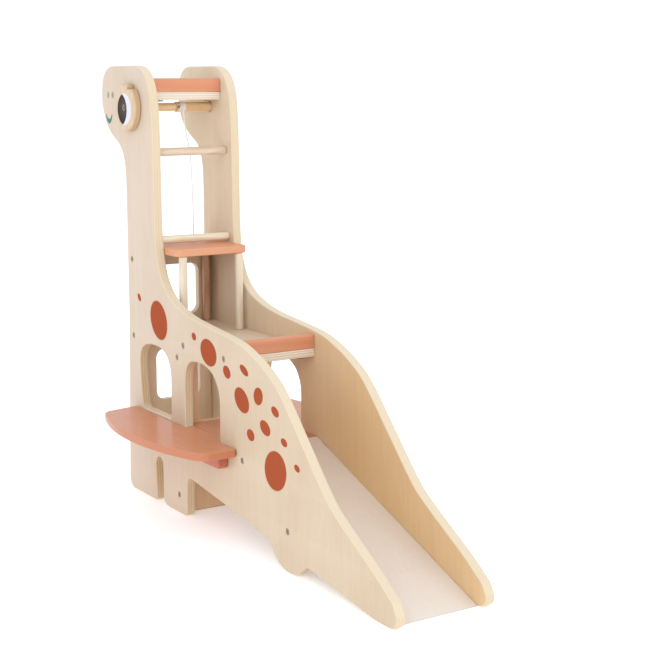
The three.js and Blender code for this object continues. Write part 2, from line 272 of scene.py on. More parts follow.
def to_row(point, axis):
    """Drawing (across, up, depth) in mm to the row frame, for boards facing along an axis."""
    u, v, w = (c * MM for c in point)
    return {"Y": (REAR_X + u, w, v), "Z": (REAR_X + u, v, w), "X": (REAR_X + w, u, v)}[axis]


def ring_angles(count, extra=()):
    return np.sort(np.concatenate([np.linspace(0, 2 * math.pi, count, endpoint=False), extra]))


def turned(name, profile, centre, material, body, direction=1, angles=ring_angles(64),
           reach=None, axis="Y"):
    """A turned piece from (radius, along) points in mm; direction -1 mirrors it along its axis.

    reach(radius, angle) gives the radius where the piece isn't quite round."""
    verts, faces, sides = [], [], len(angles)
    for radius, along in profile:
        for a in angles:
            r = reach(radius, a) if reach else radius
            s, t = r * math.cos(a), r * math.sin(a)
            offset = (s, along * direction, t) if axis == "Y" else (s, t, along * direction)
            verts.append(Vector(centre) + Vector(offset) * MM)
    for k in range(len(profile) - 1):
        faces += quads(k * sides, (k + 1) * sides, sides)
    return add_piece(name, verts, faces, material, body)


def quads(first, second, count):
    """Faces between two rings of vertices that start at these numbers."""
    return [(first + i, first + (i + 1) % count, second + (i + 1) % count, second + i)
            for i in range(count)]


def rounded_profile(radius, low, high, ease, steps=4):
    """Profile of a rod with rounded rims, from one end of its axis to the other."""
    turn = np.linspace(0, math.pi / 2, steps + 1)
    rim = [(radius - ease * (1 - math.sin(a)), ease * (1 - math.cos(a))) for a in turn]
    return ([(0, low)] + [(r, low + d) for r, d in rim]
            + [(r, high - d) for r, d in reversed(rim)] + [(0, high)])


def tube(name, path, material, body, pitch=4.2 * MM):
    """A laid string of twisted strands along a path of points, in metres. A path that comes
    back to its start makes a closed loop."""
    path, radius, sides = np.array(path), CORD_D / 2 * MM, STRING_SIDES
    along = np.gradient(path, axis=0)
    along /= np.linalg.norm(along, axis=1)[:, None]
    run = np.concatenate([[0], np.cumsum(np.linalg.norm(np.diff(path, axis=0), axis=1))])
    side = np.cross(along[0], (0.3, 1, 0.1))
    verts, faces = [], []
    for point, way, length in zip(path, along, run):
        side = side - way * side.dot(way)
        side /= np.linalg.norm(side)
        up = np.cross(way, side)
        for a in np.linspace(0, 2 * math.pi, sides, endpoint=False):
            lobe = abs(math.cos(STRANDS / 2 * (a - 2 * math.pi * length / pitch)))
            r = radius * (1 - STRAND_GROOVE + STRAND_GROOVE * lobe)
            verts.append(point + (side * math.cos(a) + up * math.sin(a)) * r)
    for k in range(len(path) - 1):
        faces += quads(k * sides, (k + 1) * sides, sides)
    if np.linalg.norm(path[0] - path[-1]) > WELD:
        last = (len(path) - 1) * sides
        faces += [list(range(sides)), list(range(last, last + sides))]
    return add_piece(name, verts, faces, material, body)


# ---- shader helpers ----------------------------------------------------------------
class Shader:
    """A material under construction: adds nodes and hands back their output sockets."""

    def __init__(self, name, **constants):
        self.material = bpy.data.materials.new(name)
        self.material.use_nodes = True
        self.nodes = self.material.node_tree.nodes
        self.surface = self.nodes["Principled BSDF"]
        for socket, value in constants.items():
            self.surface.inputs[socket.replace("_", " ")].default_value = value
        place = self.add("ShaderNodeTexCoord")
        self.position, self.normal = place.outputs["Object"], place.outputs["Normal"]
        geometry = self.add("ShaderNodeNewGeometry")
        self.pointiness = geometry.outputs["Pointiness"]

    def add(self, kind, values=(), **settings):
        node = self.nodes.new(kind)
        for key, value in settings.items():
            setattr(node, key, value)
        for key, value in dict(values).items():
            self.put(node.inputs[key], value)
        return node

    def put(self, socket, value):
        if isinstance(value, bpy.types.NodeSocket):
            self.material.node_tree.links.new(value, socket)
        else:
            socket.default_value = value

    def math(self, operation, a, b=0.0, clamp=False):
        return self.add("ShaderNodeMath", {0: a, 1: b}, operation=operation,
                        use_clamp=clamp).outputs[0]

    def vector(self, operation, a, b=(0, 0, 0)):
        node = self.add("ShaderNodeVectorMath", {0: a, 1: b}, operation=operation)
        return node.outputs["Value" if operation in ("LENGTH", "DOT_PRODUCT") else "Vector"]

    def part(self, vector, axis):
        """One component of a vector socket."""
        return self.add("ShaderNodeSeparateXYZ", {0: vector}).outputs[AXES.index(axis)]

    def stretch(self, scale, shift=(0, 0, 0)):
        return self.add("ShaderNodeMapping", {"Vector": self.position, "Scale": scale,
                                              "Location": shift}).outputs[0]

    def noise(self, vector, scale, detail=2.0, distortion=0.0):
        node = self.add("ShaderNodeTexNoise", {"Vector": vector, "Scale": scale,
                                               "Detail": detail, "Distortion": distortion})
        return node.outputs["Factor" if "Factor" in node.outputs else "Fac"]

    def remap(self, value, low, high, to_low=0.0, to_high=1.0):
        return self.add("ShaderNodeMapRange", {"Value": value, "From Min": low, "From Max": high,
                                               "To Min": to_low, "To Max": to_high}).outputs[0]

    def mix(self, share, a, b):
        node = self.add("ShaderNodeMix", data_type="RGBA")
        for index, value in ((0, share), (6, a), (7, b)):
            self.put(node.inputs[index], value)
        return node.outputs[2]

    def colour(self, value):
        self.put(self.surface.inputs["Base Color"], value)

    def roughness(self, value):
        self.put(self.surface.inputs["Roughness"], value)

    def bump(self, height, strength, distance):
        node = self.add("ShaderNodeBump", {"Height": height, "Strength": strength,
                                           "Distance": distance})
        self.put(self.surface.inputs["Normal"], node.outputs[0])


def rgb(red, green, blue):
    """A screen colour, 0 to 255, as the linear colour that shaders take."""
    def linear(c):
        c /= 255
        return c / 12.92 if c <= 0.04045 else ((c + 0.055) / 1.055) ** 2.4
    return (linear(red), linear(green), linear(blue), 1.0)


def grain(s, along, seed, fineness=1.0):
    """Growth lines and fine streaks of timber that run along one axis, as two heights."""
    scale = [1.0, 1.0, 1.0]
    scale[AXES.index(along)] = 0.07
    stretched = s.stretch(scale, (seed * 1.7, seed * 0.9, seed * 2.3))
    flame = s.noise(stretched, 16 * fineness, 2.0, 0.5)
    lines = s.remap(s.math("SINE", s.math("MULTIPLY", flame, 75.0)), -1.0, 1.0)
    streaks = s.noise(stretched, 420 * fineness, 3.0)
    return lines, streaks


BIRCH_LIGHT, BIRCH_MID, BIRCH_DEEP = rgb(223, 205, 180), rgb(213, 192, 163), rgb(194, 166, 128)
WORN_BIRCH = rgb(246, 230, 205)
PLAIN_EDGE = rgb(230, 213, 186), rgb(220, 199, 167)
# Tones of a sawn edge: long plies, light and deep cross plies, and the glue between them.
PALE_PLIES = rgb(238, 226, 207), rgb(220, 205, 184), rgb(208, 191, 168), rgb(150, 130, 110)
# The brown tones, on the side panels, are partly painted shade: they darken edges in the shaded
# openings.
BROWN_SHADED_PLIES = rgb(232, 208, 172), rgb(212, 180, 138), rgb(198, 164, 122), rgb(140, 102, 68)
PLIES = 7
BIRCH_SPECULAR = 0.22


def birch(name, facing, span=None, along="Z", lines_show=0.5, seed=1.0, prints=None,
          tones=PALE_PLIES):
    """Clear-lacquered birch plywood. facing is the axis across the board, and span its two
    faces along it in metres, between which the plies show on the edges. lines_show is how
    clearly they do, as a number or as a function of the shader."""
    s = Shader(name, Specular_IOR_Level=BIRCH_SPECULAR)
    lines, streaks = grain(s, along, seed)
    cloud = s.noise(s.stretch((1, 1, 0.5), (seed, seed, 0)), 14.0, 2.0)
    tone = s.math("ADD", s.math("MULTIPLY", lines, 0.14), s.math("MULTIPLY", streaks, 0.34))
    tone = s.math("ADD", tone, s.math("MULTIPLY", cloud, 0.65))
    face = s.mix(s.remap(tone, 0.35, 1.0), BIRCH_LIGHT, BIRCH_MID)
    pores = s.noise(s.stretch((1, 1, 0.12), (3 * seed, 0, seed)), 900.0, 1.0)
    face = s.mix(s.remap(pores, 0.62, 0.8, 0.0, 0.22), face, BIRCH_DEEP)

    if span:
        depth = s.remap(s.part(s.position, facing), span[0], span[1], 0.0, float(PLIES))
        odd = s.math("GREATER_THAN", s.math("MODULO", depth, 2.0), 1.0)
        within = s.math("ABSOLUTE", s.math("SUBTRACT", s.math("FRACT", depth), 0.5))
        glue = s.remap(within, 0.38, 0.47)
        end_grain = s.noise(s.position, 1500.0, 2.0)
        long_ply, cross_light, cross_deep, glue_line = tones
        layer = s.mix(odd, long_ply, s.mix(end_grain, cross_light, cross_deep))
        layer = s.mix(s.math("MULTIPLY", glue, 0.85), layer, glue_line)
        edge = s.remap(s.math("ABSOLUTE", s.part(s.normal, facing)), 0.86, 0.62)
        shown = lines_show(s) if callable(lines_show) else lines_show
        layer = s.mix(shown, s.mix(streaks, *PLAIN_EDGE), layer)
        face = s.mix(edge, face, layer)

    worn = s.remap(s.pointiness, 0.51, 0.6, 0.0, 0.35)
    face = s.mix(worn, face, WORN_BIRCH)
    if prints:
        face = prints(s, face, streaks)
    s.colour(face)
    s.roughness(s.remap(s.math("ADD", streaks, cloud), 0.7, 1.4, 0.36, 0.52))
    s.bump(s.math("ADD", streaks, s.math("MULTIPLY", lines, 0.4)), 0.25, 0.08 * MM)
    return s.material


def stained(name, along, base, deep, light, show=0.55, gloss=0.15, painted_side_shade=(1, 1, 1)):
    """Thin stain through which the timber's grain still shows, under clear lacquer. On a board that
    lies flat, painted_side_shade darkens and reddens the sides as painted shade."""
    s = Shader(name, Coat_Weight=gloss, Coat_Roughness=0.16, Specular_IOR_Level=0.3)
    lines, streaks = grain(s, along, 1.0, 0.8)
    cloud = s.noise(s.position, 11.0, 3.0)
    tone = s.math("ADD", s.math("MULTIPLY", lines, 0.35), s.math("MULTIPLY", streaks, 0.65))
    face = s.mix(s.remap(tone, 0.25, 0.85, 0.0, show), base, deep)
    face = s.mix(s.remap(cloud, 0.4, 0.7, 0.0, 0.35), face, light)
    worn = s.remap(s.pointiness, 0.51, 0.6, 0.0, 0.3)
    face = s.mix(worn, face, light)
    # Painted shade: the sides of a flat board turn darker and redder than its top.
    upward = s.math("ABSOLUTE", s.part(s.normal, "Z"))
    rim = s.mix(s.remap(upward, 0.85, 0.3), (1, 1, 1, 1), (*painted_side_shade, 1))
    s.colour(s.vector("MULTIPLY", face, rim))
    s.roughness(s.remap(s.math("ADD", streaks, cloud), 0.7, 1.4, 0.42, 0.58))
    s.bump(s.math("ADD", streaks, s.math("MULTIPLY", lines, 0.5)), 0.3, 0.08 * MM)
    return s.material


def ramp_paint():
    """Smooth pale paint with faint roller mottling and rubbed lines down the slope."""
    s = Shader("ramp_paint", Coat_Weight=0.1, Coat_Roughness=0.3, Specular_IOR_Level=0.4)
    mottle = s.noise(s.position, 260.0, 3.0)
    cloud = s.noise(s.position, 7.0, 2.0)
    rubs = s.noise(s.stretch((0.08, 1, 0.2)), 700.0, 2.0)
    face = s.mix(s.remap(cloud, 0.35, 0.65), rgb(228, 217, 203), rgb(222, 208, 193))
    face = s.mix(s.remap(rubs, 0.6, 0.75, 0.0, 0.3), face, rgb(209, 194, 178))
    s.colour(s.mix(s.remap(mottle, 0.4, 0.7, 0.0, 0.2), face, rgb(236, 228, 217)))
    s.roughness(s.remap(s.math("ADD", mottle, rubs), 0.7, 1.3, 0.38, 0.52))
    s.bump(mottle, 0.15, 0.05 * MM)
    return s.material


def steel(name, dark, light):
    """Dull bronze-grey plated screw."""
    s = Shader(name, Metallic=0.85, Specular_IOR_Level=0.5)
    scratches = s.noise(s.position, 2600.0, 3.0)
    patches = s.noise(s.position, 420.0, 2.0)
    face = s.mix(patches, dark, light)
    s.colour(s.mix(s.remap(s.pointiness, 0.5, 0.6, 0.0, 0.5), face, rgb(190, 178, 160)))
    s.roughness(s.remap(scratches, 0.3, 0.7, 0.3, 0.5))
    s.bump(scratches, 0.2, 0.03 * MM)
    return s.material


def string():
    """White twisted cotton string."""
    s = Shader("string", Sheen_Weight=0.3, Sheen_Roughness=0.6, Specular_IOR_Level=0.2)
    fibres = s.noise(s.stretch((1, 1, 0.35)), 5200.0, 3.0)
    s.colour(s.mix(fibres, rgb(248, 245, 240), rgb(228, 221, 214)))
    s.roughness(s.remap(fibres, 0.3, 0.7, 0.8, 0.95))
    s.bump(fibres, 0.4, 0.06 * MM)
    return s.material


# ---- prints ------------------------------------------------------------------------
# Oval spots on the flank: x, z, half length, half width in mm and tilt in degrees.
SPOTS = [
    (33, 263, 6.2, 4.0, 138), (89, 240.5, 26.4, 22.2, 130), (185, 234, 6.0, 4.6, 164),
    (222, 220, 20.8, 15.8, 164), (267, 204, 9.4, 7.1, 156), (308, 213, 10.4, 5.0, 158),
    (302, 177, 18.0, 13.3, 153), (340, 188.6, 10.9, 9.8, 43), (377, 178, 8.6, 5.4, 161),
    (355, 155, 12.0, 8.0, 161), (322, 140, 8.8, 6.8, 171), (396, 147, 7.0, 4.5, 168),
    (377, 110.5, 24.3, 22.4, 31), (423, 124, 6.0, 4.0, 166),
]
NOSTRILS = [((-48.9, 522.6, 3.6, 4.2), rgb(136, 154, 138)),
            ((-35, 522.7, 3.6, 4.2), rgb(150, 137, 108))]
# The smile is the part of one oval that lies outside another: z and half sizes of both.
SMILE = {"x": -47.4, "outer": (500, 10.2, 14.6), "inner": (505, 9.2, 13.4), "top": 497.5}
SPOT_INK, SMILE_INK = (rgb(171, 87, 58), rgb(164, 82, 53)), rgb(60, 118, 100)


def ellipse(s, x, z, a, b, tilt=0.0):
    """Distance from an ellipse's middle, where 1 is its rim."""
    flat = s.vector("MULTIPLY", s.position, (1, 0, 1))
    local = s.add("ShaderNodeMapping", {
        "Vector": flat, "Location": (REAR_X + x * MM, 0, z * MM),
        "Rotation": (0, -math.radians(tilt), 0), "Scale": (a * MM, 1, b * MM),
    }, vector_type="TEXTURE")
    return s.vector("LENGTH", local.outputs[0])


def inside(s, distance, soft=0.03):
    return s.remap(distance, 1 + soft, 1 - soft)


# How a panel's colour drifts between two distances from the tower's rear, on each face.
# On the inner face it darkens and warms towards the ramp as painted shade, under the near
# panel's hump; the outer face warms towards the front.
PANEL_TONE_AND_SHADE = {"outer": (60, 200, (0.89, 0.875, 0.91, 1), (0.88, 0.85, 0.82, 1)),
          "inner": (100, 380, (1, 1, 1, 1), (1.04, 0.9, 0.68, 1))}
# Painted light on a panel's edges: those that face sideways are darker and warmer, those that face
# up lighter and cooler.
EDGE_PAINTED_LIGHT = (0.91, 0.91, 0.87, 1), (1.0, 1.03, 1.04, 1)


def ply_lines_and_edge_shade(s):
    """Plies show clearly in the windows, the door and between the legs, faintly elsewhere. There
    the brown plies also darken the edges, as painted shade.
    """
    rear = s.remap(s.part(s.position, "X"), REAR_X + 270 * MM, REAR_X + 262 * MM)
    low = s.remap(s.part(s.position, "Z"), 214 * MM, 208 * MM)
    return s.remap(s.math("MULTIPLY", rear, low), 0.0, 1.0, 0.15, 0.5)


def flank_prints(side):
    """Prints on a side panel's outer face, with painted light on its edges and painted shade on its
    inner face; side is -1 on the right and +1 on the left.
    """
    def prints(s, face, streaks):
        nearest = None
        for x, z, a, b, tilt in SPOTS:
            one = ellipse(s, x, z, a, b, tilt)
            nearest = one if nearest is None else s.math("MINIMUM", nearest, one)
        out = s.math("MULTIPLY", s.part(s.normal, "Y"), float(side))
        outer_face, inner_face = s.remap(out, 0.85, 0.95), s.remap(out, -0.85, -0.95)
        forward = s.part(s.position, "X")
        # Painted light on the edges first, then each face's drift, with painted shade on the inner
        # face.
        tint = s.mix(s.remap(s.part(s.normal, "Z"), 0.2, 0.9), *EDGE_PAINTED_LIGHT)
        for share, (start, end, rear, front) in ((inner_face, PANEL_TONE_AND_SHADE["inner"]),
                                                 (outer_face, PANEL_TONE_AND_SHADE["outer"])):
            drift = s.remap(forward, REAR_X + start * MM, REAR_X + end * MM)
            tint = s.mix(share, tint, s.mix(drift, rear, front))
        face = s.vector("MULTIPLY", face, tint)
        inked = s.math("MULTIPLY", inside(s, nearest), outer_face)
        face = s.mix(inked, face, s.mix(streaks, *SPOT_INK))
        s.put(s.surface.inputs["Specular IOR Level"],
              s.remap(inked, 0.0, 1.0, BIRCH_SPECULAR, 0.0))

        for place, tone in NOSTRILS:
            hole = s.math("MULTIPLY", inside(s, ellipse(s, *place), 0.25), outer_face)
            face = s.mix(s.math("MULTIPLY", hole, 0.95), face, tone)

        lower = inside(s, ellipse(s, SMILE["x"], *SMILE["outer"]), 0.05)
        upper = inside(s, ellipse(s, SMILE["x"], *SMILE["inner"]), 0.05)
        below = s.remap(s.part(s.position, "Z"), (SMILE["top"] + 0.4) * MM,
                        (SMILE["top"] - 0.4) * MM)
        lips = s.math("MULTIPLY", s.math("SUBTRACT", lower, upper, clamp=True), below)
        return s.mix(s.math("MULTIPLY", lips, outer_face), face, SMILE_INK)
    return prints


# The eye's discs, from the knob's middle: x, z and radius. The pupil shows only on the white.
EYE_WHITE, PUPIL = (0.8, -2.2, 20.0), (-12.6, -2.6, 20.8)
EYE_WHITE_INK, PUPIL_INK = rgb(218, 216, 232), rgb(46, 44, 48)
KNOB_SPECULAR = 0.2


def knob_material(side, centre):
    """Turned wood with an eye printed on its front, and painted shade on its rim."""
    s = Shader("eye_knob_wood" + ("_right" if side < 0 else "_left"),
               Specular_IOR_Level=KNOB_SPECULAR)
    lines, streaks = grain(s, "Z", 4.0, 1.6)
    tone = s.math("ADD", s.math("MULTIPLY", lines, 0.5), s.math("MULTIPLY", streaks, 0.6))
    face = s.mix(s.remap(tone, 0.2, 0.9), rgb(214, 192, 162), rgb(202, 174, 140))
    facing = s.math("MULTIPLY", s.part(s.normal, "Y"), float(side))
    # Painted shade: the rim, turned away from the front, is darker and browner.
    face = s.mix(s.remap(facing, 0.7, 0.2), face, rgb(197, 167, 128))
    front = s.remap(facing, 0.9, 0.97)
    discs = []
    for x, z, radius in (EYE_WHITE, PUPIL):
        place = (centre.x - REAR_X) / MM + x, centre.z / MM + z
        discs.append(inside(s, ellipse(s, *place, radius, radius)))
    white = s.math("MULTIPLY", discs[0], front)
    face = s.mix(white, face, EYE_WHITE_INK)
    face = s.mix(s.math("MULTIPLY", white, discs[1]), face, PUPIL_INK)
    s.put(s.surface.inputs["Specular IOR Level"],
          s.remap(white, 0.0, 1.0, KNOB_SPECULAR, 0.0))
    s.colour(s.mix(s.remap(s.pointiness, 0.52, 0.6, 0.0, 0.3), face, rgb(240, 216, 178)))
    s.roughness(s.remap(streaks, 0.3, 0.7, 0.34, 0.48))
    s.bump(s.math("ADD", streaks, s.math("MULTIPLY", lines, 0.4)), 0.2, 0.06 * MM)
    return s.material


def rod_wood(name, along, light, deep, seed):
    """Sanded hardwood rod with its grain along it."""
    s = Shader(name, Coat_Weight=0.1, Coat_Roughness=0.35, Specular_IOR_Level=0.4)
    lines, streaks = grain(s, along, seed, 2.2)
    tone = s.math("ADD", s.math("MULTIPLY", lines, 0.45), s.math("MULTIPLY", streaks, 0.7))
    face = s.mix(s.remap(tone, 0.25, 0.95), light, deep)
    s.colour(s.mix(s.remap(s.pointiness, 0.55, 0.65, 0.0, 0.3), face, light))
    s.roughness(s.remap(streaks, 0.3, 0.7, 0.4, 0.55))
    s.bump(streaks, 0.25, 0.06 * MM)
    return s.material


# ---- side panels -------------------------------------------------------------------
INNER, FACE = 50.5, 62.5         # faces of a side panel, from the middle of the tower
HEIGHT = 560.0
NECK_FRONT = 81.0
AXLE_BORE, DRUM_BORE = 5.6, 6.6         # radii of the winch's holes, right and left
SCREW_POCKET = (3.8, 3.2)               # radius and depth
# Screws through each panel: distance from the rear and height.
SIDE_SCREWS = {
    "wall_high": (13, 311), "wall_low": (13, 210), "deck_rear": (155, 218),
    "deck_front": (259, 218), "mid_high": (138, 200.5), "mid_low": (138, 24),
    "ramp_high": (301, 105), "ramp_low": (402, 47),
}


def panel_outline():
    """Silhouette of the dinosaur: legs, belly, foot, tail, back, neck and head."""
    made = Outline(-9, 16).curve((-8.7, 5), (-3, 0), (6, 0))
    made.line((66, 0)).curve((74.3, 0), (73.5, 9)).line((71.5, 50.2))
    made.arc(82, 50.2, 10.5, 180, 0)
    made.line((92.4, 16)).curve((92.8, 0), (107, 0)).line((150, 0))
    made.curve((158.7, 0), (158.7, 9)).line((159.4, 42)).curve((160.5, 52.6), (172, 51.6))
    made.line((354, 29.4)).curve((368, 26), (372, 0), (407, 0), steps=24)
    made.curve((432, 0), (430, 19), (449, 16.8), steps=24).line((573, 0), (594, 0))
    made.curve((607, 0), (611.5, 7), (610, 15))
    made.spline((603, 26.5), (570, 48.5), (506, 85.5), (479, 105), (434, 151), (387, 199),
                (357, 219), (322, 234), (282, 244), (190, 253.5), (151, 261), (120, 273),
                (100, 290), (89, 311), (83.5, 335), (NECK_FRONT, 365))
    made.line((NECK_FRONT - 1, 460)).curve((78.5, 515), (78, HEIGHT), (26, HEIGHT), steps=28)
    made.line((-34, HEIGHT)).curve((-60, HEIGHT), (-70, 543), (-69.5, 522), steps=24)
    made.curve((-69, 486), (-46, 473), (-26, 463), steps=24)
    made.curve((-10, 455), (0, 445), (0, 400), steps=24).line((0, 240))
    return made


def window_outline():
    made = Outline(44, 118).line((114, 118)).curve((119.5, 118), (119.8, 124))
    made.line((120.3, 168)).curve((120.5, 194), (105, 206), (76, 206), steps=20)
    made.curve((46, 206), (30, 200), (31, 176), steps=20)
    made.curve((31.4, 152), (34, 142), (36.5, 126))
    return made.curve((37.5, 118), (44, 118))


def door_outline():
    made = Outline(158, 106).line((248, 106), (248, 160))
    made.curve((248, 189), (226, 203), (196, 203), steps=20)
    return made.curve((168, 203), (158, 196), (158, 165), steps=20)


def side_panel(word, side):
    faces = sorted((side * INNER, side * FACE))
    span = [f * MM for f in faces]
    material = birch("birch_panel_" + word, "Y", span, "Z", lines_show=ply_lines_and_edge_shade,
                     seed=1.0 + 0.7 * side, prints=flank_prints(side), tones=BROWN_SHADED_PLIES)
    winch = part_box("winch_axle")
    x = ((winch[0].x + winch[1].x) / 2 - REAR_X) / MM
    z = (winch[0].z + winch[1].z) / 2 / MM
    bore = circle(x, z, AXLE_BORE if side < 0 else DRUM_BORE)
    radius, depth = SCREW_POCKET
    pockets = [(circle(px, pz, radius, 24), depth, side) for px, pz in SIDE_SCREWS.values()]
    board("side_panel_" + word, panel_outline(), faces, "Y", material,
          holes=[window_outline(), door_outline(), bore], pockets=pockets)


# ---- boards between the panels -----------------------------------------------------
WIDE = INNER - GAP
WALL_EDGE = 0.6                         # corner radius of a wall
# Openings in the walls: across and up from one corner to the other, and corner radius.
BACK_WINDOWS = ((-32.3, 120, 32.3, 188.5, 12), (-32.3, 233.3, 32.3, 300.8, 12))
MIDDLE_DOOR = (-35.7, 116, 35.7, 199, 8)


def span_of(node, axis):
    """A node's two faces along an axis, in drawing millimetres."""
    low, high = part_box(node)
    shift = REAR_X if axis == "X" else 0.0
    index = AXES.index(axis)
    return (low[index] - shift) / MM, (high[index] - shift) / MM


def cross_wall(node, holes, seed, tint):
    """A wall across the tower, of birch that takes a tint."""
    span, (low, high) = span_of(node, "X"), span_of(node, "Z")
    material = birch("birch_" + node, "X", [REAR_X + c * MM for c in span], "Z", seed=seed,
                     prints=lambda s, face, streaks: s.vector("MULTIPLY", face, tint))
    board(node, box_outline(-WIDE, low, WIDE, high, WALL_EDGE), span, "X", material, 1.0,
          holes=[box_outline(*hole) for hole in holes])


def deck(node, material, corner=0.8, front=None, ease=1.0):
    """A level board; front is its corner radius at the front, if that is another one."""
    x0, x1 = span_of(node, "X")
    front = corner if front is None else front
    outline = rounded([(x0, -WIDE, corner), (x1, -WIDE, front), (x1, WIDE, front),
                       (x0, WIDE, corner)])
    board(node, outline, span_of(node, "Z"), "Z", material, ease)


def curb(node, material):
    """A stop along a deck's front edge, with rounded upper edges."""
    (x0, x1), (z0, z1) = span_of(node, "X"), span_of(node, "Z")
    outline = rounded([(x0, z0, 0.5), (x1, z0, 0.5), (x1, z1, 3), (x0, z1, 3)])
    board(node, outline, span_of(node, "Y"), "Y", material, 0.8)


def decks(salmon):
    for seed, node in enumerate(("car_deck", "head_platform")):
        span = [c * MM for c in span_of(node, "Z")]
        deck(node, birch("birch_" + node, "Z", span, "X", lines_show=0.9, seed=4.0 + seed))
    deck("lower_deck", salmon["floors"])
    deck("landing", salmon["landing"], 2.2, 8, 1.4)
    curb("car_deck_curb", salmon["curbs"])
    curb("head_platform_curb", salmon["curbs"])


# ---- balconies ---------------------------------------------------------------------
# Ends of a balcony along the tower, and how far its corners and its curve's handle reach out.
BALCONY = {"from": 16.5, "to": 289.5, "corner": 111.5, "bulge": 157.5, "peak": 150.0}
DOOR = (158.0, 248.0)


def balcony(word, side, salmon):
    """A bowed balcony with a tongue in the doorway, and the cleat that runs under it."""
    start, end, corner = BALCONY["from"], BALCONY["to"], BALCONY["corner"]
    near, far = FACE + GAP, BALCONY["bulge"]

    def p(x, y):
        return x, side * y

    made = Outline(*p(start, near)).line(p(start + 8, corner - 8))
    made.curve(p(start + 10, corner), p(start + 17.5, corner + 4))
    made.curve(p(BALCONY["peak"], far), p(end - 14, corner + 3), steps=40)
    made.curve(p(end - 3, corner - 4), p(end - 2, corner - 14))
    made.line(p(end, near + 4)).curve(p(end, near), p(end - 4, near))
    made.line(p(DOOR[1] - GAP, near), p(DOOR[1] - GAP, INNER), p(DOOR[0] + GAP, INNER),
              p(DOOR[0] + GAP, near))
    board("balcony_" + word, made, span_of("balcony_" + word, "Z"), "Z", salmon["floors"], 1.5)
    node = "balcony_cleat_" + word
    (x0, x1), (z0, z1) = span_of(node, "X"), span_of(node, "Z")
    outline = rounded([(x0, z0, 5), (x1, z0, 5), (x1, z1, 0.6), (x0, z1, 0.6)])
    board(node, outline, span_of(node, "Y"), "Y", salmon["shaded_cleats"], 1.3)


# ---- ramp --------------------------------------------------------------------------
RAMP_TOE, RAMP_THICK = 0.4, 9.0         # thickness at the very foot, and elsewhere


def ramp():
    """The sloping board, and the batten across the tower under it."""
    (x0, x1), (_, z1) = span_of("ramp_board", "X"), span_of("ramp_board", "Z")
    slope = (z1 - RAMP_TOE) / (x1 - x0)
    drop = RAMP_THICK * math.hypot(1, slope)

    def under(x):
        return z1 - (x - x0) * slope - drop - GAP

    outline = Outline(x0, z1).line((x0, z1 - drop), (x1 - (drop - RAMP_TOE) / slope, 0),
                                   (x1, 0), (x1, RAMP_TOE))
    board("ramp_board", outline, span_of("ramp_board", "Y"), "Y", ramp_paint(), 0.15, steps=2)
    (b0, b1), (low, _) = span_of("ramp_batten", "X"), span_of("ramp_batten", "Z")
    outline = rounded([(b0, low, 0.8), (b1, low, 0.8), (b1, under(b1), 0.5), (b0, under(b0), 0.5)])
    board("ramp_batten", outline, span_of("ramp_batten", "Y"), "Y",
          birch("birch_batten", "Y", None, "Y", seed=6.0), 0.5)


# ---- rods --------------------------------------------------------------------------
ROD_R, ROD_EASE = 5.2, 0.8


def rods():
    """Two rungs across the neck, and four posts under the landing."""
    for node, light, deep in (("rung_upper", rgb(218, 198, 173), rgb(204, 175, 140)),
                              # The lower rung's lighter tones are painted light, against the shade
                              # of the landing below it.
                              ("rung_lower", rgb(238, 227, 206), rgb(223, 203, 167))):
        low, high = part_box(node)
        centre = ((low.x + high.x) / 2, 0, (low.z + high.z) / 2)
        turned(node, rounded_profile(ROD_R, low.y / MM, high.y / MM, ROD_EASE), centre,
               rod_wood("wood_" + node, "Y", light, deep, 2.0), TOWER)
    for place, light, deep in (
            ("landing_post_", rgb(228, 216, 194), rgb(214, 194, 164)),
            # The rear posts' browner, redder tones are painted shade and painted bounce light from
            # the salmon landing.
            ("landing_rear_post_", rgb(205, 165, 135), rgb(185, 140, 110))):
        for word in ("right", "left"):
            low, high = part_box(place + word)
            centre = ((low.x + high.x) / 2, (low.y + high.y) / 2, 0)
            turned(place + word, rounded_profile(ROD_R, low.z / MM, high.z / MM, ROD_EASE),
                   centre, rod_wood("wood_" + place + word, "Z", light, deep, 3.0), TOWER,
                   axis="Z")


# ---- winch -------------------------------------------------------------------------
KNOB_R, KNOB_THICK, KNOB_EASE = 30.0, 9.8, 4.0
NOTCH = (10.0, 23.3)                    # inner corner of the step, from the knob's middle
EYE_POCKET = (3.9, 2.4)                 # radius and depth, for the eye's screw
SPIGOT_R, SPIGOT_START = 3.1, 0.2       # the axle's thinner end, which sits in the drum
SPIGOT_BORE, BORE_END = 3.4, 8.0
COLLAR_R, DRUM_R, GROOVE_R = 6.6, 6.2, 5.2
COLLAR_END, GROOVE_END = 3.0, 13.2      # places along the drum
PIN_SIDES = 20
# Drum pin: share of its radius, and share of its height.
PIN_PROFILE = [(0, 0), (1, 0), (1, 0.45), (0.86, 0.75), (0.6, 0.93), (0.3, 1), (0.25, 0.8),
               (0, 0.8)]
HEXAGON, HEXAGON_DEPTH = 0.48, 1.2      # a screw's socket: share of the head's radius, and mm
CURB_SOCKET_R, CURB_SOCKET_DEPTH = 1.5, 1


def knob_reach(radius, angle):
    """Rim of a knob: a circle with a small step cut into its upper front."""
    across, up = math.cos(angle), math.sin(angle)
    if min(across, up) < 1e-6:
        return radius
    ease = min(KNOB_R - radius, 0.5)
    return min(radius, max((NOTCH[0] - ease) / across, (NOTCH[1] - ease) / up))


